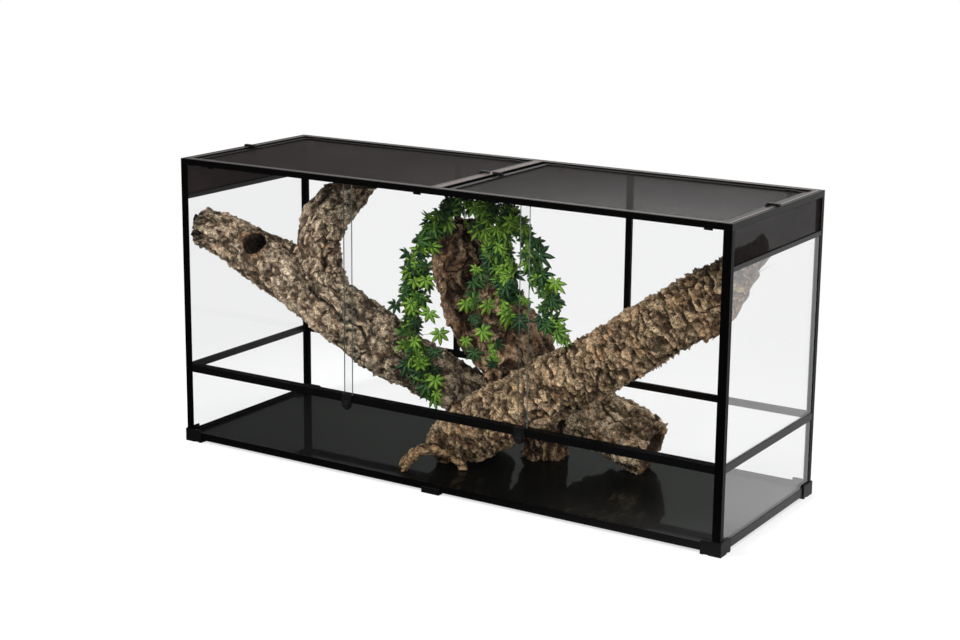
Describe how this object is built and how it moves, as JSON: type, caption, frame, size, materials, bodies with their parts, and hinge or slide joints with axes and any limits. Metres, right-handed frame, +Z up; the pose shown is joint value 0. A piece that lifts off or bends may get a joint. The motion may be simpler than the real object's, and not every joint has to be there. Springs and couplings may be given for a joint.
{
  "type": "reptile terrarium",
  "caption": "Long glass reptile terrarium with a black frame, sliding front doors, lift-off mesh lids, side vents, cork bark tubes and a hanging vine.",
  "frame": {"origin": "centre of the tank in plan, on the surface under its feet", "axes": "+Z up, front doors face -Y, +X to the right of someone facing the doors"},
  "size_m": [1.838, 0.6246, 0.8993],
  "materials": {
    "frame_black": "black powder coat, satin",
    "light_bar": "black powder coat, satin, ribbed",
    "lid_black": "black powder coat, satin",
    "track_black": "extruded black plastic, satin",
    "corner_plastic": "moulded black plastic, fine grain",
    "clip_plastic": "moulded black plastic, soft gloss",
    "base_gloss": "black sheet, polished",
    "side_mesh": "black coated fine wire mesh",
    "lid_mesh": "black coated fine wire mesh",
    "pane_glass": "clear tempered glass, polished",
    "door_glass": "clear tempered glass, polished edges",
    "lock_metal": "black coated zinc",
    "knob_metal": "black coated zinc, semi-gloss",
    "bark_grey": "natural cork bark, grey brown, rough",
    "bark_red": "natural cork bark, red brown, rough",
    "bark_cut": "cork bark off-cut, tan cut edge, rough",
    "vine_leaf": "moulded green leaves, semi-matte"
  },
  "bodies": {
    "frame": {"post_front_left": "frame_black", "post_front_right": "frame_black", "post_back_left": "frame_black", "post_back_right": "frame_black", "bottom_rail_front": "frame_black", "bottom_rail_back": "frame_black", "bottom_rail_left": "frame_black", "bottom_rail_right": "frame_black", "base_panel": "base_gloss", "door_track_lower": "track_black", "door_track_upper": "track_black", "mid_rail_left": "frame_black", "mid_rail_right": "frame_black", "mid_rail_back": "frame_black", "back_mullions": "frame_black", "top_rail_front": "frame_black", "top_rail_back": "frame_black", "top_rail_left": "frame_black", "top_rail_right": "frame_black", "centre_bar": "light_bar", "vent_rail_left": "frame_black", "vent_rail_right": "frame_black", "vent_mesh_left": "side_mesh", "vent_mesh_right": "side_mesh", "panes_left": "pane_glass", "panes_right": "pane_glass", "panes_back_upper": "pane_glass", "pane_back_lower": "pane_glass", "pane_front_lower": "pane_glass", "foot_front_left": "corner_plastic", "foot_front_right": "corner_plastic", "foot_back_left": "corner_plastic", "foot_back_right": "corner_plastic", "centre_feet": "corner_plastic", "lock_bodies": "lock_metal", "cork_forked": "bark_grey", "cork_trunk": "bark_red", "cork_long": "bark_grey", "cork_log": "bark_red", "cork_arch": "bark_cut", "vine": "vine_leaf"},
    "lid_left": {"lid_frame_left": "lid_black", "lid_mesh_left": "lid_mesh", "lid_clips_left": "clip_plastic"},
    "lid_right": {"lid_frame_right": "lid_black", "lid_mesh_right": "lid_mesh", "lid_clips_right": "clip_plastic"},
    "door_left": {"door_left": "door_glass"},
    "door_centre": {"door_centre": "door_glass"},
    "door_right": {"door_right": "door_glass"},
    "latch_left_outer": {"latch_left_outer": "clip_plastic"},
    "latch_left_inner": {"latch_left_inner": "clip_plastic"},
    "latch_right_inner": {"latch_right_inner": "clip_plastic"},
    "latch_right_outer": {"latch_right_outer": "clip_plastic"},
    "lock_knob_left": {"lock_knob_left": "knob_metal"},
    "lock_knob_right": {"lock_knob_right": "knob_metal"}
  },
  "joints": [
    {"name": "door_left_slide", "type": "slide", "parent": "frame", "child": "door_left", "axis": [1, 0, 0], "range_m": [0, 1.18307]},
    {"name": "door_centre_slide", "type": "slide", "parent": "frame", "child": "door_centre", "axis": [1, 0, 0], "range_m": [-0.59153, 0.59153]},
    {"name": "door_right_slide", "type": "slide", "parent": "frame", "child": "door_right", "axis": [1, 0, 0], "range_m": [-1.18307, 0]},
    {"name": "lid_left_lift", "type": "slide", "parent": "frame", "child": "lid_left", "axis": [0, 0, 1], "range_m": [0, 0.15]},
    {"name": "lid_right_lift", "type": "slide", "parent": "frame", "child": "lid_right", "axis": [0, 0, 1], "range_m": [0, 0.15]},
    {"name": "latch_left_outer_turn", "type": "hinge", "parent": "lid_left", "child": "latch_left_outer", "pos_m": [-0.8795, 0, 0.889], "axis": [0, 0, 1], "range_deg": [0, 90]},
    {"name": "latch_left_inner_turn", "type": "hinge", "parent": "lid_left", "child": "latch_left_inner", "pos_m": [-0.0255, 0, 0.889], "axis": [0, 0, -1], "range_deg": [0, 90]},
    {"name": "latch_right_inner_turn", "type": "hinge", "parent": "lid_right", "child": "latch_right_inner", "pos_m": [0.0365, 0, 0.889], "axis": [0, 0, 1], "range_deg": [0, 90]},
    {"name": "latch_right_outer_turn", "type": "hinge", "parent": "lid_right", "child": "latch_right_outer", "pos_m": [0.8795, 0, 0.889], "axis": [0, 0, -1], "range_deg": [0, 90]},
    {"name": "lock_knob_left_turn", "type": "hinge", "parent": "frame", "child": "lock_knob_left", "pos_m": [-0.29577, -0.305, 0.22], "axis": [0, 1, 0], "range_deg": [0, 90]},
    {"name": "lock_knob_right_turn", "type": "hinge", "parent": "frame", "child": "lock_knob_right", "pos_m": [0.29577, -0.305, 0.22], "axis": [0, 1, 0], "range_deg": [0, 90]}
  ]
}
